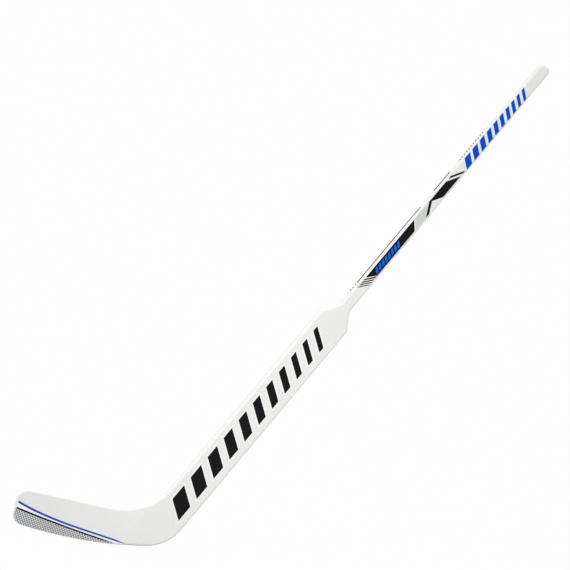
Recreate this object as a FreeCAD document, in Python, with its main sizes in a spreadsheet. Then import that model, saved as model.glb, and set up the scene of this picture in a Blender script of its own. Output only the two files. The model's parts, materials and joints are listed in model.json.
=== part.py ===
import FreeCAD, Part
import math
import os
import Sketcher
from collections import namedtuple
from FreeCAD import Vector

# Goalkeeper's ice hockey stick. A laminated shaft runs down between two paddle wings into a heel joint, the
# blade is glued to the heel by a tongue, and glass-fibre faces are bonded on the front and the rear.
# The stick is drawn lying flat: x runs along the shaft towards the butt, y towards the toe side, z out of the
# front face, with the origin on the shaft's centre line at the grip. The finished pieces are then stood up at
# the lie angle, so that the ice is level, +Z is up and the front face looks along -Y.

# Driving dimensions, in millimetres and degrees
SIZES = (
    ("lie_angle", 62, "angle between the shaft and the ice"),
    ("stick_thickness", 20, "front to rear, on the shaft and the paddle"),
    ("edge_radius", 6.5, "rounding of the long edges on the shaft, the paddle and the heel"),
    ("blade_edge_radius", 2, "rounding of the long edges on the blade, at its toe and along its top"),
    ("shaft_width", 31, "narrow side to narrow side"),
    ("shaft_length", 754, "shoulder to butt"),
    ("butt_corner_radius", 11, "corners of the butt, seen from the front"),
    ("grip_above_shoulder", 64, "shoulder to the middle of the grip"),
    ("shoulder_length", 40, "along the shaft, from shaft width to paddle width"),
    ("shoulder_inner_radius", 12, "where the shoulder leaves the shaft"),
    ("shoulder_outer_radius", 14, "where the shoulder meets the paddle's side"),
    ("paddle_width", 88, "side to side"),
    ("paddle_length", 696, "shoulder to the heel corner, where the back side would meet the ice"),
    ("heel_radius", 106, "outer curve of the heel"),
    ("throat_radius", 160, "inner curve between the paddle and the blade"),
    ("blade_length", 386, "heel corner to toe, along the ice"),
    ("blade_height", 90, "ice to the top edge, above the point that touches the ice"),
    ("blade_top_rise", 2.6, "slope of the top edge, upwards to the toe"),
    ("rocker_radius", 1100, "curve of the sole"),
    ("rocker_contact", 210, "heel corner to the point that touches the ice"),
    ("toe_top_radius", 26, "upper corner of the toe"),
    ("toe_bottom_radius", 28, "lower corner of the toe"),
    ("crease_offset", 6, "paddle's side to the line where the blade starts to thin"),
    ("crease_radius", 120, "soft bend of the front face at that line"),
    ("taper_angle", 5, "slope of the front face past that line"),
    ("face_curve_radius", 1300, "hollow of the blade's front face"),
    ("toe_thickness", 9, "front to rear, at the toe"),
    ("glass_thickness", 0.9, "glass-fibre faces"),
    ("ply_thickness", 3, "plies of the shaft"),
    ("wing_seat_depth", 2, "planed off each side of the shaft where a wing is glued on"),
    ("rail_width", 8, "hardwood edges of the paddle"),
    ("heel_joint_height", 170, "heel corner to the top of the heel blocks, along the shaft"),
    ("tenon_length", 45, "shaft into the heel block"),
    ("tenon_width", 16, "across the shaft"),
    ("tenon_thickness", 8, "front to rear"),
    ("tongue_length", 45, "blade into the heel blocks"),
    ("tongue_thickness", 7, "front to rear"),
    ("lower_strip_height", 30, "ice to the top of the blade's lower strip"),
    ("middle_strip_height", 32, "height of the blade's middle strip"),
)

# Places that several pieces share, as formulas of the dimensions
REACH = "(sizes.shaft_length + sizes.paddle_length + sizes.blade_length)"
HALF_THICKNESS = "(sizes.stick_thickness / 2)"
HALF_PADDLE = "(sizes.paddle_width / 2)"
HALF_SHAFT = "(sizes.shaft_width / 2)"
HALF_STRINGER = f"({HALF_SHAFT} - sizes.wing_seat_depth)"
HALF_CORE = f"({HALF_THICKNESS} - sizes.glass_thickness - sizes.ply_thickness)"
SHOULDER_X = "(-sizes.grip_above_shoulder)"
HEEL_CORNER_X = f"({SHOULDER_X} - sizes.shoulder_length - sizes.paddle_length)"
HEEL_JOINT_X = f"({HEEL_CORNER_X} + sizes.heel_joint_height)"
CREASE_Y = f"({HALF_PADDLE} + sizes.crease_offset)"
RAIL_Y = f"({HALF_PADDLE} - sizes.rail_width)"
MIDDLE_STRIP_TOP = "(sizes.lower_strip_height + sizes.middle_strip_height)"
SHOULDER_ANGLE = f"atan(({HALF_PADDLE} - {HALF_SHAFT}) / sizes.shoulder_length)"
COS_LIE = "cos(sizes.lie_angle * 1 deg)"
SIN_LIE = "sin(sizes.lie_angle * 1 deg)"

# Ends of a sketched stretch, and the sketch's own origin
START, END, CENTRE = range(1, 4)
ORIGIN = (-1, 1)

# The most of the local thickness that the larger edge rounding may take, and the most of the blade's least
# thickness that the smaller one may take
LARGE_ROUNDING_SHARE = 0.4
SMALL_ROUNDING_SHARE = 0.46

# The side walls stand square to the plan, so their normals have no part along z
WALL_NORMAL_Z = 0.01

# One line or arc of an outline: an arc has a centre and turns left or right on the way round
Stretch = namedtuple("Stretch", "name first last centre left radius", defaults=(None, True, None))


def make_sheet(doc):
    """The table of driving dimensions."""
    sheet = doc.addObject("Spreadsheet::Sheet", "sizes")
    for row, (alias, value, meaning) in enumerate(SIZES, start=1):
        sheet.set(f"A{row}", meaning)
        sheet.set(f"B{row}", str(value))
        sheet.setAlias(f"B{row}", alias)
    doc.recompute()
    return sheet


class Outline:
    """A closed run of lines and arcs in one sketch, with its constraints."""

    def __init__(self, sketch, stretches, corners=()):
        self.sketch = sketch
        self.part = {}
        ends = [self.draw(stretch) for stretch in stretches]
        for index, (piece, _, last) in enumerate(ends):
            other, first, _ = ends[(index + 1) % len(ends)]
            kind = "Coincident" if stretches[index].name in corners else "Tangent"
            self.rule(kind, piece, last, other, first)
        for stretch in stretches:
            if stretch.radius:
                self.size(f"{stretch.name}_radius", stretch.radius, "Radius", self.part[stretch.name])

    def draw(self, stretch):
        """Adds one stretch and gives its number and which of its ends come first and last."""
        if stretch.centre is None:
            shape = Part.LineSegment(stretch.first, stretch.last)
        else:
            ends = (stretch.first, stretch.last) if stretch.left else (stretch.last, stretch.first)
            spokes = [end - stretch.centre for end in ends]
            low, high = [math.atan2(spoke.y, spoke.x) for spoke in spokes]
            circle = Part.Circle(stretch.centre, Vector(0, 0, 1), spokes[0].Length)
            shape = Part.ArcOfCircle(circle, low, high if high > low else high + 2 * math.pi)
        piece = self.sketch.addGeometry(shape)
        self.part[stretch.name] = piece
        return (piece, START, END) if stretch.left else (piece, END, START)

    def guide(self, shape):
        """A construction line or point."""
        return self.sketch.addGeometry(shape, True)

    def rule(self, *words):
        """A constraint with no size."""
        self.sketch.addConstraint(Sketcher.Constraint(*words))

    def size(self, name, formula, *words):
        """A constraint whose size follows the dimensions."""
        value = float(self.sketch.evalExpression(formula))
        drawn = math.radians(value) if words[0] == "Angle" else value
        index = self.sketch.addConstraint(Sketcher.Constraint(*words, drawn))
        self.sketch.renameConstraint(index, name)
        self.sketch.setExpression(f"Constraints.{name}", formula)


def sketch_on(body, plane):
    """A new sketch on one of the body's own planes."""
    sketch = body.newObject("Sketcher::SketchObject", f"{body.Name}_sketch")
    support = [feature for feature in body.Origin.OriginFeatures if feature.Role == plane]
    sketch.AttachmentSupport = [(support[0], "")]
    sketch.MapMode = "FlatFace"
    return sketch


def press_out(body, sketch, length):
    """The sketch made solid by the same amount on both sides of its plane."""
    pad = body.newObject("PartDesign::Pad", f"{body.Name}_pad")
    pad.Profile = sketch
    pad.SideType = "Symmetric"
    pad.setExpression("Length", length)
    body.Tip = pad


def mirrored(point):
    """The same point on the back side of the shaft's centre line."""
    return Vector(point.x, -point.y, point.z)


def mirrored_run(stretches):
    """The toe side's stretches as the back side has them, in the order of one walk round the stick."""
    run = []
    for stretch in reversed(stretches):
        centre = None if stretch.centre is None else mirrored(stretch.centre)
        name = f"{stretch.name}_back"
        first = mirrored(stretch.last)
        last = mirrored(stretch.first)
        run.append(Stretch(name, first, last, centre, stretch.left, stretch.radius))
    return run


class Plan:
    """The stick's outline, seen from the front, worked out from the dimensions."""

    def __init__(self, sizes):
        lie = math.radians(sizes.lie_angle)
        self.sizes = sizes
        self.toward_toe = Vector(-math.cos(lie), math.sin(lie), 0)
        self.upward = Vector(math.sin(lie), math.cos(lie), 0)
        self.half_paddle = sizes.paddle_width / 2
        self.shoulder_top = Vector(-sizes.grip_above_shoulder, sizes.shaft_width / 2, 0)
        corner_x = self.shoulder_top.x - sizes.shoulder_length - sizes.paddle_length
        self.heel_corner = Vector(corner_x, -self.half_paddle, 0)
        self.contact = self.on_ice(sizes.rocker_contact)
        self.toe_foot = self.on_ice(sizes.blade_length)
        self.top_point = self.on_ice(sizes.rocker_contact, sizes.blade_height)
        self.sole_centre = self.on_ice(sizes.rocker_contact, sizes.rocker_radius)

    def on_ice(self, along, height=0.0):
        """A point by its distance from the heel corner along the ice and its height above the ice."""
        return self.heel_corner + self.toward_toe * along + self.upward * height

    def on_sole(self, centre):
        """Where an arc about this centre meets the sole."""
        return self.sole_centre + (centre - self.sole_centre).normalize() * self.sizes.rocker_radius

    def shaft_side(self):
        """The toe side of butt, shaft and shoulder, from the butt down."""
        sizes = self.sizes
        radius = sizes.butt_corner_radius
        butt = self.shoulder_top + Vector(sizes.shaft_length - radius, -radius, 0)
        butt_first = butt + Vector(radius, 0, 0)
        butt_last = butt + Vector(0, radius, 0)
        turn = math.atan2(self.half_paddle - self.shoulder_top.y, sizes.shoulder_length)
        slope = Vector(-math.cos(turn), math.sin(turn), 0)
        reach = sizes.shoulder_inner_radius * math.tan(turn / 2)
        inner_first = self.shoulder_top + Vector(reach, 0, 0)
        inner_last = self.shoulder_top + slope * reach
        inner = inner_first + Vector(0, sizes.shoulder_inner_radius, 0)
        corner = Vector(self.shoulder_top.x - sizes.shoulder_length, self.half_paddle, 0)
        reach = sizes.shoulder_outer_radius * math.tan(turn / 2)
        outer_first = corner - slope * reach
        outer_last = corner - Vector(reach, 0, 0)
        outer = outer_last - Vector(0, sizes.shoulder_outer_radius, 0)
        return [
            Stretch("butt_corner", butt_first, butt_last, butt, True, "sizes.butt_corner_radius"),
            Stretch("shaft_side", butt_last, inner_first),
            Stretch("inner", inner_first, inner_last, inner, False, "sizes.shoulder_inner_radius"),
            Stretch("slope", inner_last, outer_first),
            Stretch("outer", outer_first, outer_last, outer, True, "sizes.shoulder_outer_radius"),
        ]

    def blade_top(self):
        """The throat arc above the blade's top edge and the toe's upper arc below it."""
        sizes = self.sizes
        rise = math.radians(sizes.blade_top_rise)
        square = self.upward * math.cos(rise) - self.toward_toe * math.sin(rise)
        throat_y = self.half_paddle + sizes.throat_radius
        level = sizes.throat_radius + self.top_point.dot(square)
        throat = Vector((level - square.y * throat_y) / square.x, throat_y, 0)
        throat_first = Vector(throat.x, self.half_paddle, 0)
        throat_last = throat - square * sizes.throat_radius
        along = sizes.blade_length - sizes.toe_top_radius
        edge = sizes.blade_height + (along - sizes.rocker_contact) * math.tan(rise)
        height = edge - sizes.toe_top_radius / math.cos(rise)
        toe = self.on_ice(along, height)
        toe_first = toe + square * sizes.toe_top_radius
        toe_last = self.on_ice(sizes.blade_length, height)
        return [
            Stretch("throat", throat_first, throat_last, throat, False, "sizes.throat_radius"),
            Stretch("blade_top", throat_last, toe_first),
            Stretch("toe_top", toe_first, toe_last, toe, True, "sizes.toe_top_radius"),
        ]

    def sole(self):
        """The toe's lower arc, the sole and the heel's arc, each inside the next."""
        sizes = self.sizes
        span = sizes.rocker_radius - sizes.toe_bottom_radius
        along = sizes.blade_length - sizes.toe_bottom_radius
        height = sizes.rocker_radius - math.sqrt(span**2 - (along - sizes.rocker_contact) ** 2)
        toe = self.on_ice(along, height)
        toe_first = self.on_ice(sizes.blade_length, height)
        toe_last = self.on_sole(toe)
        heel_y = sizes.heel_radius - self.half_paddle
        span = sizes.rocker_radius - sizes.heel_radius
        heel_x = self.sole_centre.x - math.sqrt(span**2 - (heel_y - self.sole_centre.y) ** 2)
        heel = Vector(heel_x, heel_y, 0)
        heel_first = self.on_sole(heel)
        heel_last = Vector(heel_x, -self.half_paddle, 0)
        return [
            Stretch("toe_bottom", toe_first, toe_last, toe, True, "sizes.toe_bottom_radius"),
            Stretch("sole", toe_last, heel_first, self.sole_centre, True, "sizes.rocker_radius"),
            Stretch("heel", heel_first, heel_last, heel, True, "sizes.heel_radius"),
        ]

    def walk(self):
        """The whole outline, from the butt down the toe side, round the blade and up the back."""
        toe_side = self.shaft_side()
        back_side = mirrored_run(toe_side)
        top = self.blade_top()
        sole = self.sole()
        side_toe = Stretch("paddle_side", toe_side[-1].last, top[0].first)
        toe_end = Stretch("toe_end", top[-1].last, sole[0].first)
        side_back = Stretch("paddle_side_back", sole[-1].last, back_side[0].first)
        butt_end = Stretch("butt_end", back_side[-1].last, toe_side[0].first)
        return toe_side + [side_toe] + top + [toe_end] + sole + [side_back] + back_side + [butt_end]

    def toe_reach(self):
        """How far the toe lies from the shaft's centre line."""
        return self.blade_top()[-1].centre.y + self.sizes.toe_top_radius


def fix_shaft(outline, plan):
    """Widths, lengths and slopes of shaft, shoulders and paddle."""
    part = outline.part
    for name in ("shaft_side", "paddle_side", "shaft_side_back", "paddle_side_back"):
        outline.rule("Horizontal", part[name])
    outline.rule("Vertical", part["butt_end"])
    outline.size("half_shaft", HALF_SHAFT, "DistanceY", *ORIGIN, part["shaft_side"], START)
    outline.size("half_paddle", HALF_PADDLE, "DistanceY", *ORIGIN, part["paddle_side"], START)
    outline.size("half_shaft_back", HALF_SHAFT, "DistanceY", part["shaft_side_back"], START, *ORIGIN)
    outline.size("half_paddle_back", HALF_PADDLE, "DistanceY", part["paddle_side_back"], START, *ORIGIN)
    butt_x = f"sizes.shaft_length + {SHOULDER_X}"
    outline.size("butt_place", butt_x, "DistanceX", *ORIGIN, part["butt_end"], START)
    for word, corner, angle in (
        ("", plan.shoulder_top, f"180 deg - {SHOULDER_ANGLE}"),
        ("_back", mirrored(plan.shoulder_top), SHOULDER_ANGLE),
    ):
        point = outline.guide(Part.Point(corner))
        place = "sizes.grip_above_shoulder"
        outline.size(f"shoulder_place{word}", place, "DistanceX", point, START, *ORIGIN)
        outline.rule("PointOnObject", point, START, part[f"shaft_side{word}"])
        outline.rule("PointOnObject", point, START, part[f"slope{word}"])
        outline.size(f"shoulder_angle{word}", angle, "Angle", part[f"slope{word}"])


def fix_blade(outline, plan):
    """The ice line, the touch point on it, and what is measured from them."""
    part = outline.part
    ice = outline.guide(Part.LineSegment(plan.heel_corner, plan.toe_foot))
    outline.rule("PointOnObject", ice, START, part["paddle_side_back"])
    outline.size("heel_place", f"-{HEEL_CORNER_X}", "DistanceX", ice, START, *ORIGIN)
    outline.size("lie", "(180 - sizes.lie_angle) * 1 deg", "Angle", ice)
    outline.size("blade_length", "sizes.blade_length", "Distance", ice)
    outline.rule("Perpendicular", part["toe_end"], ice)
    outline.rule("PointOnObject", ice, END, part["toe_end"])
    upright = outline.guide(Part.LineSegment(plan.contact, plan.sole_centre))
    outline.rule("PointOnObject", upright, START, ice)
    outline.size("contact_place", "sizes.rocker_contact", "Distance", ice, START, upright, START)
    outline.rule("Perpendicular", upright, ice)
    outline.rule("Coincident", upright, END, part["sole"], CENTRE)
    outline.size("sole_depth", "sizes.rocker_radius", "Distance", upright)
    height = outline.guide(Part.LineSegment(plan.contact, plan.top_point))
    outline.rule("Coincident", height, START, upright, START)
    outline.rule("PointOnObject", height, END, upright)
    outline.size("blade_height", "sizes.blade_height", "Distance", height)
    outline.rule("PointOnObject", height, END, part["blade_top"])
    top_angle = "(180 - sizes.lie_angle - sizes.blade_top_rise) * 1 deg"
    outline.size("blade_top_angle", top_angle, "Angle", part["blade_top"])


def make_outline_block(doc, plan):
    """A block with the stick's outline, deep enough for the blade's curve."""
    body = doc.addObject("PartDesign::Body", "outline_block")
    sketch = sketch_on(body, "XY_Plane")
    outline = Outline(sketch, plan.walk())
    fix_shaft(outline, plan)
    fix_blade(outline, plan)
    press_out(body, sketch, "sizes.blade_height")
    return body


class Faces:
    """The section across paddle and blade: flat on the paddle, thinner and curved past the crease.

    A layer set into a face keeps the face's arc centres.
    """

    def __init__(self, sizes, plan):
        taper = math.radians(sizes.taper_angle)
        self.sizes = sizes
        self.near_y = -sizes.paddle_width
        self.far_y = sizes.blade_length
        self.far_z = sizes.blade_height
        self.flat_z = sizes.stick_thickness / 2
        self.crease_y = plan.half_paddle + sizes.crease_offset
        self.toe_y = plan.toe_reach()
        self.slope = Vector(math.sin(taper), math.cos(taper), 0)
        self.bend_centre = Vector(self.crease_y, self.flat_z - sizes.crease_radius, 0)
        self.hollow_centre = self.bend_centre + self.slope * (sizes.crease_radius + sizes.face_curve_radius)
        run = self.toe_y - self.crease_y
        rise = self.hollow_z(self.toe_y) - sizes.toe_thickness + self.flat_z
        self.rear_radius = (run**2 + rise**2) / (2 * rise)
        self.rear_centre = Vector(self.crease_y, self.rear_radius - self.flat_z, 0)

    def hollow_z(self, y, inset=0.0):
        """Height of the blade's hollow front face, or of a layer set into it."""
        radius = self.sizes.face_curve_radius + inset
        return self.hollow_centre.y - math.sqrt(radius**2 - (y - self.hollow_centre.x) ** 2)

    def rear_z(self, y, inset=0.0):
        """Height of the blade's rear face, or of a layer set into it."""
        radius = self.rear_radius - inset
        return self.rear_centre.y - math.sqrt(radius**2 - (y - self.rear_centre.x) ** 2)

    def least_thickness(self):
        """Front to rear where the blade is thinnest: on the line through both arcs' centres, or at the toe."""
        across = self.hollow_centre - self.rear_centre
        offset = across.Length
        thinnest_y = self.hollow_centre.x + across.x / offset * self.sizes.face_curve_radius
        if not self.crease_y < thinnest_y < self.toe_y:
            return self.sizes.toe_thickness
        return self.rear_radius - self.sizes.face_curve_radius - offset

    def rounding(self, y):
        """Radius of the long edges at this distance: the larger one where the stick is thick enough for it."""
        thickness = self.sizes.stick_thickness
        if y > self.crease_y:
            thickness = min(thickness, self.hollow_z(y) - self.rear_z(y))
        if self.sizes.edge_radius <= LARGE_ROUNDING_SHARE * thickness:
            return self.sizes.edge_radius
        return min(self.sizes.blade_edge_radius, SMALL_ROUNDING_SHARE * self.least_thickness())


def front_space(doc, faces, name, inset):
    """Everything in front of the front face, or of a layer set into it."""
    sizes = faces.sizes
    depth = getattr(sizes, inset) if inset else 0.0
    less = f" - sizes.{inset}" if inset else ""
    more = f" + sizes.{inset}" if inset else ""
    start = Vector(faces.near_y, faces.flat_z - depth, 0)
    crease = Vector(faces.crease_y, faces.flat_z - depth, 0)
    bend_end = faces.bend_centre + faces.slope * (sizes.crease_radius - depth)
    hollow_end = Vector(faces.far_y, faces.hollow_z(faces.far_y, depth), 0)
    far_top = Vector(faces.far_y, faces.far_z, 0)
    near_top = Vector(faces.near_y, faces.far_z, 0)
    bend_size = f"sizes.crease_radius{less}"
    hollow_size = f"sizes.face_curve_radius{more}"
    body = doc.addObject("PartDesign::Body", name)
    sketch = sketch_on(body, "YZ_Plane")
    stretches = [
        Stretch("flat", start, crease),
        Stretch("bend", crease, bend_end, faces.bend_centre, False, bend_size),
        Stretch("hollow", bend_end, hollow_end, faces.hollow_centre, True, hollow_size),
        Stretch("far_side", hollow_end, far_top),
        Stretch("top", far_top, near_top),
        Stretch("near_side", near_top, start),
    ]
    outline = Outline(sketch, stretches, corners=("hollow", "far_side", "top", "near_side"))
    part = outline.part
    outline.size("taper", "sizes.taper_angle * 1 deg", "Angle", part["bend"])
    outline.size("height", "sizes.blade_height", "DistanceY", *ORIGIN, part["top"], START)
    outline.size("level", f"{HALF_THICKNESS}{less}", "DistanceY", *ORIGIN, part["flat"], START)
    outline.size("crease", CREASE_Y, "DistanceX", *ORIGIN, part["flat"], END)
    fix_frame(outline, "top")
    press_out(body, sketch, f"2 * {REACH}")
    return body


def rear_space(doc, faces, name, inset):
    """Everything behind the rear face, or behind a layer set into it."""
    depth = getattr(faces.sizes, inset) if inset else 0.0
    less = f" - sizes.{inset}" if inset else ""
    crease = Vector(faces.crease_y, depth - faces.flat_z, 0)
    far_end = Vector(faces.far_y, faces.rear_z(faces.far_y, depth), 0)
    near_bottom = Vector(faces.near_y, -faces.far_z, 0)
    far_bottom = Vector(faces.far_y, -faces.far_z, 0)
    near_end = Vector(faces.near_y, crease.y, 0)
    body = doc.addObject("PartDesign::Body", name)
    sketch = sketch_on(body, "YZ_Plane")
    stretches = [
        Stretch("bottom", near_bottom, far_bottom),
        Stretch("far_side", far_bottom, far_end),
        Stretch("curve", far_end, crease, faces.rear_centre, False),
        Stretch("flat", crease, near_end),
        Stretch("near_side", near_end, near_bottom),
    ]
    outline = Outline(sketch, stretches, corners=("bottom", "far_side", "flat", "near_side"))
    part = outline.part
    outline.rule("Radius", part["curve"], faces.rear_radius - depth)
    outline.size("height", "sizes.blade_height", "DistanceY", part["bottom"], START, *ORIGIN)
    outline.size("level", f"{HALF_THICKNESS}{less}", "DistanceY", part["flat"], START, *ORIGIN)
    outline.size("crease", CREASE_Y, "DistanceX", *ORIGIN, part["flat"], START)
    fix_frame(outline, "bottom")
    press_out(body, sketch, f"2 * {REACH}")
    return body


def fix_frame(outline, outer_side):
    """The straight sides that close a lengthwise section."""
    part = outline.part
    outline.rule("Horizontal", part["flat"])
    outline.rule("Horizontal", part[outer_side])
    outline.rule("Vertical", part["far_side"])
    outline.rule("Vertical", part["near_side"])
    outline.size("near", "sizes.paddle_width", "DistanceX", part["near_side"], START, *ORIGIN)
    outline.size("far", "sizes.blade_length", "DistanceX", *ORIGIN, part["far_side"], START)


def joined(doc, kind, name, base, tool):
    """Two solids combined: Part::Common, Part::Cut or Part::Fuse."""
    solid = doc.addObject(f"Part::{kind}", name)
    solid.Base = base
    solid.Tool = tool
    doc.recompute()
    return solid


def block(doc, name, x=(None, None), y=(None, None), z=(None, None)):
    """A straight block between formulas; a side left out reaches past the stick."""
    box = doc.addObject("Part::Box", name)
    for side, axis, (low, high) in (("Length", "x", x), ("Width", "y", y), ("Height", "z", z)):
        low = low or f"(-{REACH})"
        high = high or REACH
        box.setExpression(side, f"{high} - {low}")
        box.setExpression(f"Placement.Base.{axis}", low)
    return box


def ice_band(doc, name, low, high):
    """A slab of the blade, level with the ice, between two heights above the ice."""
    box = doc.addObject("Part::Box", name)
    box.Placement = FreeCAD.Placement(Vector(), FreeCAD.Rotation(Vector(0, 0, -1), 1))
    box.setExpression("Placement.Rotation.Angle", "sizes.lie_angle * 1 deg")
    box.setExpression("Length", f"2 * {REACH}")
    box.setExpression("Width", f"{high} - {low}")
    box.setExpression("Height", f"2 * {REACH}")
    box.setExpression("Placement.Base.x", f"{HEEL_CORNER_X} - {REACH} * {COS_LIE} + {low} * {SIN_LIE}")
    box.setExpression("Placement.Base.y", f"-{HALF_PADDLE} + {REACH} * {SIN_LIE} + {low} * {COS_LIE}")
    box.setExpression("Placement.Base.z", f"-{REACH}")
    return box


def long_edges(solid):
    """The edges between the side walls and the front or rear face."""
    names = []
    for number, edge in enumerate(solid.Edges, start=1):
        sides = solid.ancestorsOfType(edge, Part.Face)
        walls = 0
        for face in sides:
            u_low, u_high, v_low, v_high = face.ParameterRange
            normal = face.normalAt((u_low + u_high) / 2, (v_low + v_high) / 2)
            walls += abs(normal.z) < WALL_NORMAL_Z
        if len(sides) == 2 and walls == 1:
            names.append(number)
    return names


def edge_roundings(solid, faces):
    """Each long edge with the radii at its two ends; between them the rounding changes evenly."""
    roundings = []
    for number in long_edges(solid):
        edge = solid.Edges[number - 1]
        ends = (edge.firstVertex(), edge.lastVertex())
        first, last = [faces.rounding(end.Point.y) for end in ends]
        roundings.append((number, first, last))
    return roundings


def make_envelope(doc, plan, faces):
    """The stick's whole outside: outline, front and rear faces, and rounded long edges."""
    outline = make_outline_block(doc, plan)
    front = front_space(doc, faces, "front_space", None)
    rear = rear_space(doc, faces, "rear_space", None)
    doc.recompute()
    behind_front = joined(doc, "Cut", "behind_front", outline, front)
    blank = joined(doc, "Cut", "stick_blank", behind_front, rear)
    envelope = doc.addObject("Part::Fillet", "envelope")
    envelope.Base = blank
    envelope.Edges = edge_roundings(blank.Shape, faces)
    doc.recompute()
    return envelope


def make_layers(doc, faces, envelope):
    """The glass faces and the wood between them, over the whole stick."""
    front = front_space(doc, faces, "front_glass_space", "glass_thickness")
    rear = rear_space(doc, faces, "rear_glass_space", "glass_thickness")
    doc.recompute()
    front_glass = joined(doc, "Common", "front_glass", envelope, front)
    rear_glass = joined(doc, "Common", "rear_glass", envelope, rear)
    behind_glass = joined(doc, "Cut", "behind_glass", envelope, front)
    wood = joined(doc, "Cut", "wood", behind_glass, rear)
    return front_glass, rear_glass, wood


def make_glass(doc, front_glass, rear_glass):
    """The glass faces, cut where the cloth is laid in separate lengths."""
    zones = {
        "shaft": block(doc, "shaft_zone", x=(SHOULDER_X, None)),
        "paddle": block(doc, "paddle_zone", x=(HEEL_JOINT_X, SHOULDER_X)),
        "heel": block(doc, "heel_zone", x=(None, HEEL_JOINT_X), y=(None, CREASE_Y)),
        "blade": block(doc, "blade_zone", x=(None, HEEL_JOINT_X), y=(CREASE_Y, None)),
    }
    doc.recompute()
    nodes = []
    for name, zone in zones.items():
        nodes.append(joined(doc, "Common", f"{name}_glass_front", front_glass, zone))
        nodes.append(joined(doc, "Common", f"{name}_glass_rear", rear_glass, zone))
    return nodes, zones["blade"]


def make_shaft(doc, wood, tenon):
    """The shaft's centre strip with its tenon, and a ply on each side of it."""
    upper = block(doc, "shaft_upper", x=(SHOULDER_X, None))
    lower = block(doc, "shaft_lower", (HEEL_JOINT_X, SHOULDER_X), (f"-{HALF_STRINGER}", HALF_STRINGER))
    doc.recompute()
    room = joined(doc, "Fuse", "shaft_room", upper, lower)
    stringer = joined(doc, "Common", "stringer", wood, room)
    front = block(doc, "front_ply_room", z=(HALF_CORE, None))
    middle = block(doc, "core_room", z=(f"-{HALF_CORE}", HALF_CORE))
    rear = block(doc, "rear_ply_room", z=(None, f"-{HALF_CORE}"))
    doc.recompute()
    strip = joined(doc, "Common", "core_strip", stringer, middle)
    return [
        joined(doc, "Common", "shaft_ply_front", stringer, front),
        joined(doc, "Fuse", "shaft_core", strip, tenon),
        joined(doc, "Common", "shaft_ply_rear", stringer, rear),
    ]


def make_wings(doc, wood):
    """A light board and a hardwood rail on each side of the shaft."""
    nodes = []
    length = (HEEL_JOINT_X, SHOULDER_X)
    for side, board, rail in (
        ("toe_side", (HALF_STRINGER, RAIL_Y), (RAIL_Y, None)),
        ("back_side", (f"-{RAIL_Y}", f"-{HALF_STRINGER}"), (None, f"-{RAIL_Y}")),
    ):
        board_room = block(doc, f"board_room_{side}", length, board)
        rail_room = block(doc, f"rail_room_{side}", length, rail)
        doc.recompute()
        nodes.append(joined(doc, "Common", f"paddle_board_{side}", wood, board_room))
        nodes.append(joined(doc, "Common", f"paddle_rail_{side}", wood, rail_room))
    return nodes


def make_heel(doc, wood, tenon, tongue):
    """The heel block behind and the throat block in front, cut for the tenon and the tongue."""
    below = (None, HEEL_JOINT_X)
    heel_room = block(doc, "heel_room", below, (None, HALF_STRINGER))
    throat_room = block(doc, "throat_room", below, (HALF_STRINGER, CREASE_Y))
    doc.recompute()
    heel_blank = joined(doc, "Common", "heel_blank", wood, heel_room)
    throat_blank = joined(doc, "Common", "throat_blank", wood, throat_room)
    heel_mortised = joined(doc, "Cut", "heel_mortised", heel_blank, tenon)
    return [
        joined(doc, "Cut", "heel_block", heel_mortised, tongue),
        joined(doc, "Cut", "throat_block", throat_blank, tongue),
    ]


def make_blade(doc, wood, blade_zone, middle_band, tongue):
    """Three strips along the blade; the middle one runs on into the heel as the tongue."""
    lower_band = ice_band(doc, "lower_band", f"(-{REACH})", "sizes.lower_strip_height")
    upper_band = ice_band(doc, "upper_band", MIDDLE_STRIP_TOP, REACH)
    doc.recompute()
    blade = joined(doc, "Common", "blade_wood", wood, blade_zone)
    middle = joined(doc, "Common", "middle_strip", blade, middle_band)
    return [
        joined(doc, "Common", "blade_strip_lower", blade, lower_band),
        joined(doc, "Fuse", "blade_strip_middle", middle, tongue),
        joined(doc, "Common", "blade_strip_upper", blade, upper_band),
    ]


def make_tenon(doc):
    """The tenon at the shaft's lower end."""
    half_width = "(sizes.tenon_width / 2)"
    half_depth = "(sizes.tenon_thickness / 2)"
    x = (f"({HEEL_JOINT_X} - sizes.tenon_length)", HEEL_JOINT_X)
    return block(doc, "tenon", x, (f"-{half_width}", half_width), (f"-{half_depth}", half_depth))


def make_tongue(doc, middle_band):
    """The tongue at the blade's heel end, as high as the middle strip."""
    half_depth = "(sizes.tongue_thickness / 2)"
    y = (f"({CREASE_Y} - sizes.tongue_length)", CREASE_Y)
    room = block(doc, "tongue_room", (None, HEEL_JOINT_X), y, (f"-{half_depth}", half_depth))
    doc.recompute()
    return joined(doc, "Common", "tongue", room, middle_band)


def build(doc):
    """Every piece of the stick, stood up at the lie angle."""
    sizes = make_sheet(doc)
    plan = Plan(sizes)
    faces = Faces(sizes, plan)
    envelope = make_envelope(doc, plan, faces)
    front_glass, rear_glass, wood = make_layers(doc, faces, envelope)
    nodes, blade_zone = make_glass(doc, front_glass, rear_glass)
    tenon = make_tenon(doc)
    middle_band = ice_band(doc, "middle_band", "sizes.lower_strip_height", MIDDLE_STRIP_TOP)
    doc.recompute()
    tongue = make_tongue(doc, middle_band)
    nodes += make_shaft(doc, wood, tenon)
    nodes += make_wings(doc, wood)
    nodes += make_heel(doc, wood, tenon, tongue)
    nodes += make_blade(doc, wood, blade_zone, middle_band, tongue)
    standing = FreeCAD.Rotation(0, -sizes.lie_angle, 90)
    for node in nodes:
        node.Label = node.Name
        node.Placement = FreeCAD.Placement(Vector(), standing)
    doc.recompute()
    return nodes


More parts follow.
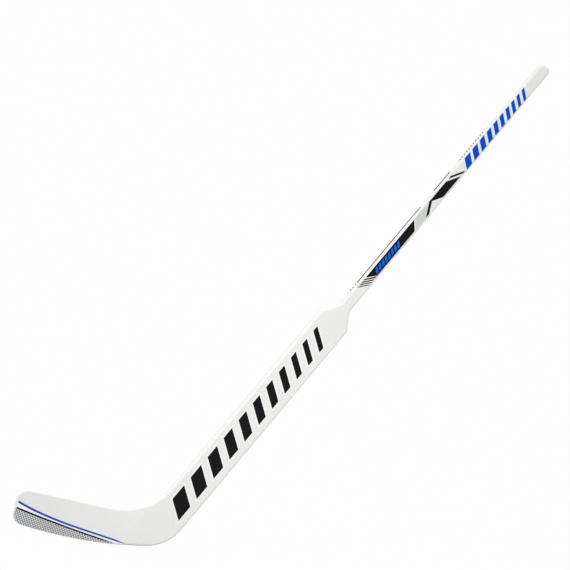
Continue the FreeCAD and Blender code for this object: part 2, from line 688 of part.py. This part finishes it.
def check(doc, nodes):
    """Stops if any object failed or any piece is not one sound solid."""
    failed = [item.Name for item in doc.Objects if {"Invalid", "Error"} & set(item.State)]
    if failed:
        raise RuntimeError(f"failed objects: {failed}")
    for node in nodes:
        shape = node.Shape
        if shape.isNull() or not shape.isValid() or len(shape.Solids) != 1:
            raise RuntimeError(f"{node.Label} is not one sound solid")


def write(nodes):
    """One STEP file for each piece."""
    os.makedirs("parts", exist_ok=True)
    for node in nodes:
        node.Shape.exportStep(f"parts/{node.Label}.step")
        print(f"{node.Label}: {node.Shape.Volume / 1000:.1f} cm3")


stick = FreeCAD.newDocument("goalie_stick")
pieces = build(stick)
check(stick, pieces)
write(pieces)
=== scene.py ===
import json
import math

import bmesh
import bpy
import numpy as np
from mathutils import Matrix, Vector
from mathutils.bvhtree import BVHTree


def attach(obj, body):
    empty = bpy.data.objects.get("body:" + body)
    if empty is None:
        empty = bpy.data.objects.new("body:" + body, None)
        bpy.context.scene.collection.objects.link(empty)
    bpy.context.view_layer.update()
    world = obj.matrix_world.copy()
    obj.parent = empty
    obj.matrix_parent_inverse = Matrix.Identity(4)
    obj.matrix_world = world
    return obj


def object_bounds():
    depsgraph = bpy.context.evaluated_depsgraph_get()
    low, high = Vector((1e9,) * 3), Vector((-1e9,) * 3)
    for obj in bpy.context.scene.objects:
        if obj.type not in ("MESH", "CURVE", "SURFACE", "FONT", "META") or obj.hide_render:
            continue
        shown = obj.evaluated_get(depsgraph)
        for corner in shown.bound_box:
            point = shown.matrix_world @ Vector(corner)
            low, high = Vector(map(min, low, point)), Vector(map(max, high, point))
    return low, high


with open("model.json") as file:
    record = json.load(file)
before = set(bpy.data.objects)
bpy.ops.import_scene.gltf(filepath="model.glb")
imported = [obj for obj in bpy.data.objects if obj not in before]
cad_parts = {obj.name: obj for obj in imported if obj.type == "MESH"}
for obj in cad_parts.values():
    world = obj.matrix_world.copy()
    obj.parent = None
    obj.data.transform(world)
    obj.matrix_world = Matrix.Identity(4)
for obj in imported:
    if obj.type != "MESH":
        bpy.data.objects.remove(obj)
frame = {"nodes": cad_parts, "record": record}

MM = 0.001
WHITE = (1, 1, 1, 1)
CAD_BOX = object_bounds()
NODES = frame["nodes"]
GRIP = next(mount for mount in frame["record"]["mounts"] if mount["name"] == "grip")

# The stick lying flat, in millimetres: x runs along the shaft to the butt, y to the toe side, z out of the
# front face, and the grip is the origin. Standing on the ice, the shaft leans at the lie angle.
COS_LIE, _, SIN_LIE = GRIP["axis"]
LIE = math.atan2(SIN_LIE, COS_LIE)

# Sole and lower corner of the toe, in millimetres; the contact is measured along the ice from the heel corner
SOLE_CONTACT = 210
SOLE_RADIUS = 1100
TOE_CORNER_RADIUS = 28

# Noises: how often each repeats in a metre and how fine its detail is, and the range of most of their values.
# Streaks repeat differently along each axis, so their own scale is 1.
TONE_NOISE = {"scale": 7.0, "detail": 3.0}
INK_TONE_NOISE = {"scale": 45.0, "detail": 4.0}
GLOSS_NOISE = {"scale": 60.0, "detail": 4.0}
PEEL_NOISE = {"scale": 260.0, "detail": 2.0}
STREAK_NOISE = {"scale": 1.0, "detail": 3.0, "rough": 0.6}
NOISE_RANGE = (0.3, 0.7)

# Blender's wave texture has this many radians to the unit
WAVE_RADIANS = 20

# White lacquer: its two tones, its gloss, the cloth or the grain under it and its own peel. Pitches and depths
# are in metres.
LACQUER_TONES = ((0.83, 0.835, 0.815), (0.78, 0.785, 0.76))
LACQUER_SPECULAR = 0.28
LACQUER_COAT = 0.1
COAT_ROUGHNESS = 0.06
LACQUER_ROUGHNESS = (0.22, 0.36)
CLOTH_PITCH = 0.0022
CLOTH_DEPTH = 0.00002
GRAIN_STRETCH = (9, 420, 420)
GRAIN_DEPTH = 0.00008
PEEL_DEPTH = 0.00006

# Scuffs: how far above the sole they reach, in metres, how they are drawn out along the ice, which values of
# the noise show, and how strongly
SCUFF_TONE = (0.30, 0.30, 0.31)
SCUFF_HEIGHT = 0.022
SCUFF_STRETCH = (14, 60, 220)
SCUFF_RANGE = (0.54, 0.70)
SCUFF_SHARE = 0.4

# Inks: the two tones and the specular level of each; the depth of their peel is in metres
INKS = {
    "black": ((0.006, 0.0055, 0.0065), (0.010, 0.009, 0.010), 0.06),
    "blue": ((0.001, 0.065, 0.50), (0.002, 0.080, 0.60), 0.06),
    "light_blue": ((0.004, 0.12, 0.66), (0.006, 0.14, 0.74), 0.06),
    "dull_blue": ((0.05, 0.07, 0.27), (0.06, 0.08, 0.31), 0.06),
    "grey": ((0.62, 0.65, 0.62), (0.56, 0.59, 0.56), 0.3),
    "white": ((0.92, 0.92, 0.92), (0.90, 0.90, 0.90), 0.45),
}
INK_ROUGHNESS = (0.24, 0.40)
INK_PEEL_DEPTH = 0.00005

# Net: its dark lines and pale holes, the turn and the pitch of the lines, and where lines give way to holes
NET_TONES = ((0.19, 0.19, 0.195), (0.72, 0.73, 0.74))
NET_SPECULAR = 0.2
NET_TURN = math.radians(32)
NET_PITCH = 0.0053
NET_HOLES = (0.08, 0.22)
NET_DEPTH = 0.00003

# Prints, in millimetres: how far they stand off the face, how far their rims reach into it, and how far off the
# stick the search for the face starts
LIFT = 0.12
OVER_LIFT = 0.24
SINK = 0.5
CLEAR = 200
RIM_ANGLE = math.radians(30)

# Points of the prints' meshes: enough rows to follow the rounded edges, and more of them near the sole
SLAB_ROWS = 15
STRIPE_ROWS = 5
STRIPE_STEPS = 120
WEDGE_ROWS = 30
WEDGE_CROWDING = 1.6
TOE_STEPS = 18
SOLE_STEPS = 130

# Prints on the blade, in millimetres. The lines and half their widths go through points given by the distance
# from the heel corner along the ice; a taper is the length over which a stripe runs out to its blunt end.
BLUE_TOE_END = 381.3
BLUE_HEEL_END = 95.0
BLUE_LINE = ((BLUE_TOE_END, 66.5), (342.1, 53.4), (223.1, 27.9), (BLUE_HEEL_END, 10.4))
BLUE_HALF = ((BLUE_TOE_END, 2.8), (BLUE_HEEL_END, 1.9))
BLUE_TAPER = 25
BLACK_TOE_END = 382.0
BLACK_HEEL_END = 121.0
BLACK_LINE = ((BLACK_TOE_END, 51.1), (272.3, 28.6), (BLACK_HEEL_END, 6.1))
BLACK_HALF = ((BLACK_TOE_END, 2.1), (BLACK_HEEL_END, 1.8))
BLACK_TAPER = 40
BAND_HEEL_END = 104
BAND_TAPER = 90
BLUNT_SHARE = 0.08
NET_GAP = 1.0
NET_INSET = 1.8
NET_HEEL_END = 128

# Prints across the paddle and the shaft, in millimetres. A row of bars starts at x. A span is the print's
# lowest and highest y, and a lean is how far it goes towards the butt for each millimetre of y.
PADDLE_BARS = {"x": -712, "width": 44, "gap": 24, "count": 11, "span": (-22, 26), "lean": 0.64, "shrink": 0.9}
PADDLE_BORDER = 3
SHAFT_DASHES = {"x": 47, "width": 7.5, "gap": 4, "count": 8, "span": (-5.4, 6.4), "lean": 0.75}
SHAFT_BARS = {"x": 378, "width": 20, "gap": 9, "count": 10, "span": (-11.2, 12), "lean": 0.75, "shrink": 0.92}
SHAFT_STROKE = {"x": 226, "width": 13, "span": (-9.5, 9), "lean": 1.8}

# Panels on the shaft, in millimetres: starts and widths of the slanted ones, and the ends of the others along
# the lowest and the highest line of the span
PANEL_SPAN = (-9.5, 10.5)
FINE_LINES = ((16, 3.4), (23, 4), (30.5, 4.6), (38.5, 5.2))
FINE_LINE_LEAN = -1.2
UPPER_PANELS = ((292, 65), (366, 9))
UPPER_PANEL_LEAN = -1.65
LONG_PANEL = ((46, 185), (24, 205))
GREY_BLOCK = ((189, 223), (209, 259))

# Prints along the shaft's narrow side, in millimetres: the span is in z, lines have a start and a length, and
# rows of dashes have a start and a count
SIDE_SPAN = (-2.8, 2.8)
SIDE_LINES = ((6, 157.8), (289, 58))
SIDE_LINE_BLUE = (164, 74)
SIDE_DASH_ROWS = ((-24, 4), (384, 11))
SIDE_DASH_WIDTH = 4
SIDE_DASH_GAP = 4.5

# Camera: the stick is turned about its length, so that its toe side shows, and the shaft climbs in the picture.
# The picture's centre is measured from the grip, along the shaft and across it. Lengths are in millimetres, and
# the far end of what the camera sees is in metres.
VIEW_TURN = math.radians(20)
SHAFT_CLIMB = math.radians(50.07)
PICTURE_CENTRE = (-113.9, -143.45)
PICTURE_WIDTH = 1368
LENS = 1000
SENSOR = 36
CLIP_END = 200

# Light: a surround that falls off from the toe side to the back side, over a range of directions across the
# stick, and a lamp in front of the paddle. The lamp's place and aim are on the flat stick; its size is in
# metres and its power in watts.
WORLD_RAMP = (-0.8, -0.1)
WORLD_BACK_SIDE = 0.05
WORLD_TOE_SIDE = 1.28
LAMP_PLACE = (-320, 280, 1120)
LAMP_AIM = (-50, 0, 0)
LAMP_SIZE = 0.5
LAMP_POWER = 2.9

# Floor: its size and its drop below the sole, in metres, its tone, and how much of what is seen is plain white
FLOOR_SIZE = 200
FLOOR_DROP = 0.0003
FLOOR_TONE = (0.45, 0.45, 0.45, 1)
FLOOR_GLOW = 0.97


# Places on the stick

def stand(x, y, z):
    """A point of the flat stick, in the frame's metres."""
    return Vector((COS_LIE * x - SIN_LIE * y, -z, SIN_LIE * x + COS_LIE * y)) * MM


def across(point):
    """How far a point of the frame lies to the toe side of the shaft's centre line, in millimetres."""
    return (COS_LIE * point.z - SIN_LIE * point.x) / MM


# The heel corner, where the paddle's back side would meet the ice, and the toe's distance from it
BACK_SIDE = min(across(vertex.co) for vertex in NODES["paddle_rail_back_side"].data.vertices)
HEEL_X = (CAD_BOX[0].z / MM - COS_LIE * BACK_SIDE) / SIN_LIE
TOE_REACH = COS_LIE * HEEL_X - SIN_LIE * BACK_SIDE - CAD_BOX[0].x / MM


def on_ice(along, height):
    """Flat x and y of a point by its distance from the heel corner and its height above the ice."""
    x = HEEL_X - COS_LIE * along + SIN_LIE * height
    y = BACK_SIDE + SIN_LIE * along + COS_LIE * height
    return x, y


# Shader parts

def link(tree, source, target):
    tree.links.new(source, target)


def flat_coordinates(tree, scale=(1, 1, 1), turn=LIE, source="Object"):
    """Coordinates turned so that X runs along the shaft and Z across it, to the toe side."""
    place = tree.nodes.new("ShaderNodeTexCoord")
    mapping = tree.nodes.new("ShaderNodeMapping")
    mapping.vector_type = "POINT"
    mapping.inputs["Rotation"].default_value = (0, turn, 0)
    mapping.inputs["Scale"].default_value = scale
    link(tree, place.outputs[source], mapping.inputs["Vector"])
    return mapping.outputs["Vector"]


def height_of(tree, vector):
    """The Z of a vector."""
    split = tree.nodes.new("ShaderNodeSeparateXYZ")
    link(tree, vector, split.inputs["Vector"])
    return split.outputs["Z"]


def noise(tree, vector, scale, detail, rough=0.5):
    node = tree.nodes.new("ShaderNodeTexNoise")
    node.inputs["Scale"].default_value = scale
    node.inputs["Detail"].default_value = detail
    node.inputs["Roughness"].default_value = rough
    link(tree, vector, node.inputs["Vector"])
    return node.outputs["Fac"]


def streaks(tree, stretch, turn=LIE):
    """Noise that repeats a number of times in a metre along each axis."""
    return noise(tree, flat_coordinates(tree, scale=stretch, turn=turn), **STREAK_NOISE)


def waves(tree, vector, axis, pitch):
    """Sine bands, one every pitch metres."""
    node = tree.nodes.new("ShaderNodeTexWave")
    node.bands_direction = axis
    node.inputs["Scale"].default_value = 2 * math.pi / (WAVE_RADIANS * pitch)
    link(tree, vector, node.inputs["Vector"])
    return node.outputs["Fac"]


def crossed_waves(tree, vector, pitch):
    """Bands both ways, as the threads of a cloth or the lines of a net."""
    return combined(tree, "MULTIPLY", waves(tree, vector, "X", pitch), waves(tree, vector, "Z", pitch))


def spread(tree, value, source, target):
    """One range of values stretched over another."""
    node = tree.nodes.new("ShaderNodeMapRange")
    for name, number in zip(("From Min", "From Max", "To Min", "To Max"), source + target):
        node.inputs[name].default_value = number
    link(tree, value, node.inputs["Value"])
    return node.outputs["Result"]


def combined(tree, operation, first, second):
    """Two values put together by a math operation."""
    node = tree.nodes.new("ShaderNodeMath")
    node.operation = operation
    link(tree, first, node.inputs[0])
    link(tree, second, node.inputs[1])
    return node.outputs["Value"]


def mixed(tree, share, first, second):
    """Two colours mixed by a share; a colour is a value or another node's output."""
    node = tree.nodes.new("ShaderNodeMix")
    node.data_type = "RGBA"
    link(tree, share, node.inputs["Factor"])
    for name, colour in (("A", first), ("B", second)):
        socket = next(item for item in node.inputs if item.name == name and item.type == "RGBA")
        if isinstance(colour, tuple):
            socket.default_value = (*colour, 1)
        else:
            link(tree, colour, socket)
    return next(item for item in node.outputs if item.type == "RGBA")


def bump(tree, height, depth, below=None):
    """A bump of this depth in metres, over the bumps below it."""
    node = tree.nodes.new("ShaderNodeBump")
    node.inputs["Strength"].default_value = 1.0
    node.inputs["Distance"].default_value = depth
    link(tree, height, node.inputs["Height"])
    if below:
        link(tree, below, node.inputs["Normal"])
    return node.outputs["Normal"]


def new_material(name, specular, coat=0.0):
    material = bpy.data.materials.new(name)
    material.use_nodes = True
    tree = material.node_tree
    shader = tree.nodes["Principled BSDF"]
    shader.inputs["Specular IOR Level"].default_value = specular
    shader.inputs["Coat Weight"].default_value = coat
    shader.inputs["Coat Roughness"].default_value = COAT_ROUGHNESS
    return material, tree, shader


# Materials

def scuffs(tree):
    """Short marks along the ice, only near the sole."""
    sole = CAD_BOX[0].z
    height = height_of(tree, flat_coordinates(tree, turn=0))
    near_sole = spread(tree, height, (sole, sole + SCUFF_HEIGHT), (1.0, 0.0))
    marks = spread(tree, streaks(tree, SCUFF_STRETCH, turn=0), SCUFF_RANGE, (0.0, SCUFF_SHARE))
    return combined(tree, "MULTIPLY", near_sole, marks)


def uneven_roughness(tree, flat, limits):
    """A roughness that wanders between two values."""
    return spread(tree, noise(tree, flat, **GLOSS_NOISE), NOISE_RANGE, limits)


def lacquer(name, under):
    """White gloss lacquer over glass cloth or over wood."""
    material, tree, shader = new_material(name, LACQUER_SPECULAR, LACQUER_COAT)
    flat = flat_coordinates(tree)
    tone = mixed(tree, noise(tree, flat, **TONE_NOISE), *LACQUER_TONES)
    link(tree, mixed(tree, scuffs(tree), tone, SCUFF_TONE), shader.inputs["Base Color"])
    link(tree, uneven_roughness(tree, flat, LACQUER_ROUGHNESS), shader.inputs["Roughness"])
    if under == "glass":
        ground = bump(tree, crossed_waves(tree, flat, CLOTH_PITCH), CLOTH_DEPTH)
    else:
        ground = bump(tree, streaks(tree, GRAIN_STRETCH), GRAIN_DEPTH)
    peel = noise(tree, flat, **PEEL_NOISE)
    link(tree, bump(tree, peel, PEEL_DEPTH, below=ground), shader.inputs["Normal"])
    return material


def ink(name, colour, other, specular):
    """A print, a little uneven in tone and gloss."""
    material, tree, shader = new_material(name, specular)
    flat = flat_coordinates(tree)
    tone = mixed(tree, noise(tree, flat, **INK_TONE_NOISE), colour, other)
    link(tree, tone, shader.inputs["Base Color"])
    link(tree, uneven_roughness(tree, flat, INK_ROUGHNESS), shader.inputs["Roughness"])
    link(tree, bump(tree, noise(tree, flat, **PEEL_NOISE), INK_PEEL_DEPTH), shader.inputs["Normal"])
    return material


def net_ink(name):
    """A slanting net of dark lines with pale holes."""
    material, tree, shader = new_material(name, NET_SPECULAR)
    holes = crossed_waves(tree, flat_coordinates(tree, turn=NET_TURN), NET_PITCH)
    tone = mixed(tree, spread(tree, holes, NET_HOLES, (0.0, 1.0)), *NET_TONES)
    link(tree, tone, shader.inputs["Base Color"])
    link(tree, uneven_roughness(tree, flat_coordinates(tree), INK_ROUGHNESS), shader.inputs["Roughness"])
    link(tree, bump(tree, holes, NET_DEPTH), shader.inputs["Normal"])
    return material


# Shapes of the prints, in flat x and y unless they say otherwise. A patch is rows of points.

def between(lower, upper, shares):
    """Rows of points from one line to another."""
    lower, upper = np.array(lower), np.array(upper)
    return [lower + (upper - lower) * share for share in shares]


def slab(span, low_ends, high_ends):
    """A four-sided patch across the stick, by its ends along the lowest and the highest line of the span."""
    low, high = span
    lower = [(x, low) for x in low_ends]
    upper = [(x, high) for x in high_ends]
    return between(lower, upper, np.linspace(0, 1, SLAB_ROWS))


def bar(x, width, span, lean=0, border=0):
    """A bar across the stick, with an even border; its highest end leans towards the butt."""
    low, high = span[0] - border, span[1] + border
    widening = border * math.hypot(1, lean)
    start = x - border * lean - widening
    end = start + width + 2 * widening
    shift = lean * (high - low)
    return slab((low, high), (start, end), (start + shift, end + shift))


def row_of_bars(x, width, gap, count, span, lean=0, shrink=1.0, border=0):
    """Bars one after the other towards the butt, each a share of the last one's width."""
    bars = []
    for _ in range(count):
        bars.append(bar(x, width, span, lean, border))
        x += width + gap
        width *= shrink
    return bars


def line_through(points):
    """A smooth line through points, as a function of the distance from the heel corner."""
    along, values = zip(*points)
    return np.poly1d(np.polyfit(along, values, len(points) - 1))


def stripe(middle, half_width, toe_end, heel_end, taper):
    """A stripe along the blade that runs out to a blunt point at its heel end."""
    lower, upper = [], []
    for along in np.linspace(toe_end, heel_end, STRIPE_STEPS):
        half = half_width(along) * min(1.0, BLUNT_SHARE + (along - heel_end) / taper)
        lower.append(on_ice(along, middle(along) - half))
        upper.append(on_ice(along, middle(along) + half))
    return between(lower, upper, np.linspace(0, 1, STRIPE_ROWS))


def sole_edge(inset, heel_end):
    """Points just inside the blade's edge, round the toe's lower corner and then along the sole.

    They are distances from the heel corner and heights above the ice.
    """
    sole = np.array((SOLE_CONTACT, SOLE_RADIUS))
    along = TOE_REACH - TOE_CORNER_RADIUS
    drop = math.sqrt((SOLE_RADIUS - TOE_CORNER_RADIUS) ** 2 - (along - SOLE_CONTACT) ** 2)
    corner = np.array((along, SOLE_RADIUS - drop))
    meeting = math.atan2(-drop, along - SOLE_CONTACT)
    end = -math.acos((heel_end - SOLE_CONTACT) / SOLE_RADIUS)
    points = []
    for centre, radius, turns in (
        (corner, TOE_CORNER_RADIUS, np.linspace(0, meeting, TOE_STEPS)),
        (sole, SOLE_RADIUS, np.linspace(meeting, end, SOLE_STEPS)[1:]),
    ):
        points += [centre + (radius - inset) * np.array((math.cos(turn), math.sin(turn))) for turn in turns]
    return points


def wedge(line, gap, inset, heel_end):
    """The part of the blade between a line and the sole; its rows lie closest together on the rounded edge."""
    edge = sole_edge(inset, heel_end)
    lower = [on_ice(along, height) for along, height in edge]
    upper = [on_ice(along, line(along) - gap) for along, height in edge]
    return between(lower, upper, np.linspace(0, 1, WEDGE_ROWS) ** WEDGE_CROWDING)


# Printing

def stick_surface():
    """All the solids together, for finding the face that a print lies on."""
    points, faces = [], []
    for node in NODES.values():
        first = len(points)
        points += [vertex.co.copy() for vertex in node.data.vertices]
        faces += [[first + index for index in polygon.vertices] for polygon in node.data.polygons]
    return BVHTree.FromPolygons(points, faces)


SURFACE = stick_surface()

# Where the face under a print's point is looked for: a start clear of the stick, and the way to the face
SIDES = {
    "front": (lambda x, y: stand(x, y, CLEAR), stand(0, 0, -1).normalized()),
    "rear": (lambda x, y: stand(x, y, -CLEAR), stand(0, 0, 1).normalized()),
    "toe_side": (lambda x, z: stand(x, CLEAR, z), stand(0, -1, 0).normalized()),
}


def add_print(name, patches, side, material, lift=LIFT):
    """Thin closed shells on one side of the stick, as one piece of it."""
    start, towards = SIDES[side]
    work = bmesh.new()
    for rows in patches:
        grid = []
        for row in rows:
            hits = [SURFACE.ray_cast(start(*point), towards) for point in row]
            grid.append([work.verts.new(place + normal * lift * MM) for place, normal, _, _ in hits])
        for low, high in zip(grid, grid[1:]):
            for step in range(len(low) - 1):
                work.faces.new((low[step], low[step + 1], high[step + 1], high[step]))
    work.normal_update()
    inward = [face for face in work.faces if face.normal.dot(towards) > 0]
    bmesh.ops.reverse_faces(work, faces=inward)
    bmesh.ops.solidify(work, geom=work.faces[:], thickness=(lift + SINK) * MM)
    bmesh.ops.recalc_face_normals(work, faces=work.faces[:])
    mesh = bpy.data.meshes.new(name)
    work.to_mesh(mesh)
    work.free()
    mesh.shade_smooth()
    mesh.set_sharp_from_angle(angle=RIM_ANGLE)
    mesh.materials.append(material)
    piece = bpy.data.objects.new(name, mesh)
    bpy.context.scene.collection.objects.link(piece)
    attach(piece, "root")


def print_blade(side, inks):
    """Two lines that run out at the heel, a white band between them, and a net from the lower one down."""
    blue_line, blue_half = line_through(BLUE_LINE), line_through(BLUE_HALF)
    black_line, black_half = line_through(BLACK_LINE), line_through(BLACK_HALF)
    middle = (blue_line + black_line) / 2
    half_band = (blue_line - black_line) / 2
    net = wedge(black_line, NET_GAP, NET_INSET, NET_HEEL_END)
    band = stripe(middle, half_band, BLUE_TOE_END, BAND_HEEL_END, BAND_TAPER)
    blue = stripe(blue_line, blue_half, BLUE_TOE_END, BLUE_HEEL_END, BLUE_TAPER)
    black = stripe(black_line, black_half, BLACK_TOE_END, BLACK_HEEL_END, BLACK_TAPER)
    add_print(f"blade_net_{side}", [net], side, inks["net"])
    add_print(f"blade_band_white_{side}", [band], side, inks["white"])
    add_print(f"blade_line_blue_{side}", [blue], side, inks["blue"], OVER_LIFT)
    add_print(f"blade_line_black_{side}", [black], side, inks["black"], OVER_LIFT)


def print_paddle(side, inks):
    """A row of slanted bars with white borders, which grow thinner towards the shaft."""
    borders = row_of_bars(**PADDLE_BARS, border=PADDLE_BORDER)
    add_print(f"paddle_borders_{side}", borders, side, inks["white"])
    add_print(f"paddle_bars_{side}", row_of_bars(**PADDLE_BARS), side, inks["black"], OVER_LIFT)


def print_shaft(side, inks):
    """Panels above the grip with a row of dashes on the longest, and slanted bars near the butt."""
    panels = [bar(x, width, PANEL_SPAN, FINE_LINE_LEAN) for x, width in FINE_LINES]
    panels.append(slab(PANEL_SPAN, *LONG_PANEL))
    panels += [bar(x, width, PANEL_SPAN, UPPER_PANEL_LEAN) for x, width in UPPER_PANELS]
    add_print(f"shaft_panels_{side}", panels, side, inks["black"])
    add_print(f"shaft_block_{side}", [slab(PANEL_SPAN, *GREY_BLOCK)], side, inks["grey"])
    add_print(f"shaft_stroke_{side}", [bar(**SHAFT_STROKE)], side, inks["black"], OVER_LIFT)
    add_print(f"shaft_dashes_{side}", row_of_bars(**SHAFT_DASHES), side, inks["light_blue"], OVER_LIFT)
    add_print(f"shaft_bars_{side}", row_of_bars(**SHAFT_BARS), side, inks["blue"])


def print_toe_side(inks):
    """A broken line, blue towards its middle, and rows of dashes along the shaft's narrow side."""
    line = [bar(x, length, SIDE_SPAN) for x, length in SIDE_LINES]
    for x, count in SIDE_DASH_ROWS:
        line += row_of_bars(x, SIDE_DASH_WIDTH, SIDE_DASH_GAP, count, SIDE_SPAN)
    add_print("shaft_side_line", line, "toe_side", inks["black"])
    add_print("shaft_side_line_blue", [bar(*SIDE_LINE_BLUE, SIDE_SPAN)], "toe_side", inks["dull_blue"])


def add_prints():
    """The same prints on the front and the rear, and those of the toe side."""
    inks = {name: ink(f"{name}_print", *look) for name, look in INKS.items()}
    inks["net"] = net_ink("net_print")
    for side in ("front", "rear"):
        print_blade(side, inks)
        print_paddle(side, inks)
        print_shaft(side, inks)
    print_toe_side(inks)


def paint_nodes():
    """White lacquer on every solid."""
    over_glass = lacquer("white_lacquer_on_glass", "glass")
    over_wood = lacquer("white_lacquer_on_wood", "wood")
    for name, node in NODES.items():
        node.data.materials.clear()
        node.data.materials.append(over_glass if "glass" in name else over_wood)


# Stage

def add_camera():
    """The photograph's view, from so far away that nothing converges."""
    along = stand(1, 0, 0).normalized()
    across_view = stand(0, -math.cos(VIEW_TURN), math.sin(VIEW_TURN)).normalized()
    towards = stand(0, math.sin(VIEW_TURN), math.cos(VIEW_TURN)).normalized()
    cos, sin = math.cos(SHAFT_CLIMB), math.sin(SHAFT_CLIMB)
    right = along * cos + across_view * sin
    up = along * sin - across_view * cos
    centre = along * PICTURE_CENTRE[0] + across_view * PICTURE_CENTRE[1]
    place = (centre + towards * PICTURE_WIDTH * LENS / SENSOR) * MM
    data = bpy.data.cameras.new("camera")
    data.lens = LENS
    data.sensor_width = SENSOR
    data.clip_end = CLIP_END
    camera = bpy.data.objects.new("camera", data)
    camera.matrix_world = Matrix.Translation(place) @ Matrix((right, up, towards)).transposed().to_4x4()
    bpy.context.scene.collection.objects.link(camera)
    bpy.context.scene.camera = camera


def seen_directly(tree):
    """1 for camera, glossy and transmission rays, 0 for the rays that light the stick."""
    path = tree.nodes.new("ShaderNodeLightPath")
    seen = combined(tree, "MAXIMUM", path.outputs["Is Camera Ray"], path.outputs["Is Glossy Ray"])
    return combined(tree, "MAXIMUM", seen, path.outputs["Is Transmission Ray"])


def show(tree, share, lighting, seen, output):
    """One shader for the rays that light the stick, and by a share another for those that see it."""
    mix = tree.nodes.new("ShaderNodeMixShader")
    link(tree, share, mix.inputs["Fac"])
    link(tree, lighting, mix.inputs[1])
    link(tree, seen, mix.inputs[2])
    link(tree, mix.outputs["Shader"], tree.nodes[output].inputs["Surface"])


def add_world():
    """A surround that looks white and lights the stick most from its toe side."""
    world = bpy.data.worlds.new("studio")
    bpy.context.scene.world = world
    world.use_nodes = True
    tree = world.node_tree
    light = tree.nodes["Background"]
    light.inputs["Color"].default_value = WHITE
    toe_side = height_of(tree, flat_coordinates(tree, source="Generated"))
    level = spread(tree, toe_side, WORLD_RAMP, (WORLD_BACK_SIDE, WORLD_TOE_SIDE))
    link(tree, level, light.inputs["Strength"])
    white = tree.nodes.new("ShaderNodeBackground")
    white.inputs["Color"].default_value = WHITE
    white.inputs["Strength"].default_value = 1.0
    share = seen_directly(tree)
    show(tree, share, light.outputs["Background"], white.outputs["Background"], "World Output")


def add_lamp():
    """A soft lamp, near enough for the light to fall off towards both ends of the stick."""
    data = bpy.data.lights.new("key", "AREA")
    data.energy = LAMP_POWER
    data.size = LAMP_SIZE
    lamp = bpy.data.objects.new("key", data)
    lamp.location = stand(*LAMP_PLACE)
    lamp.rotation_mode = "QUATERNION"
    lamp.rotation_quaternion = (lamp.location - stand(*LAMP_AIM)).to_track_quat("Z", "Y")
    lamp.visible_camera = False
    bpy.context.scene.collection.objects.link(lamp)


def floor_paint():
    """Matt paint that looks nearly white, so that only the shadow shows."""
    material = bpy.data.materials.new("floor_white")
    material.use_nodes = True
    tree = material.node_tree
    tree.nodes.remove(tree.nodes["Principled BSDF"])
    matt = tree.nodes.new("ShaderNodeBsdfDiffuse")
    matt.inputs["Color"].default_value = FLOOR_TONE
    glow = tree.nodes.new("ShaderNodeEmission")
    glow.inputs["Color"].default_value = WHITE
    glow.inputs["Strength"].default_value = 1.0
    share = spread(tree, seen_directly(tree), (0, 1), (0, FLOOR_GLOW))
    show(tree, share, matt.outputs["BSDF"], glow.outputs["Emission"], "Material Output")
    return material


def add_floor():
    """The ice's place, as a plain white floor."""
    half = FLOOR_SIZE / 2
    height = CAD_BOX[0].z - FLOOR_DROP
    mesh = bpy.data.meshes.new("floor")
    corners = [(-half, -half, height), (half, -half, height), (half, half, height), (-half, half, height)]
    mesh.from_pydata(corners, [], [(0, 1, 2, 3)])
    mesh.materials.append(floor_paint())
    floor = bpy.data.objects.new("floor", mesh)
    bpy.context.scene.collection.objects.link(floor)


paint_nodes()
add_prints()
add_camera()
add_world()
add_lamp()
add_floor()
bpy.context.scene.view_settings.view_transform = "Standard"
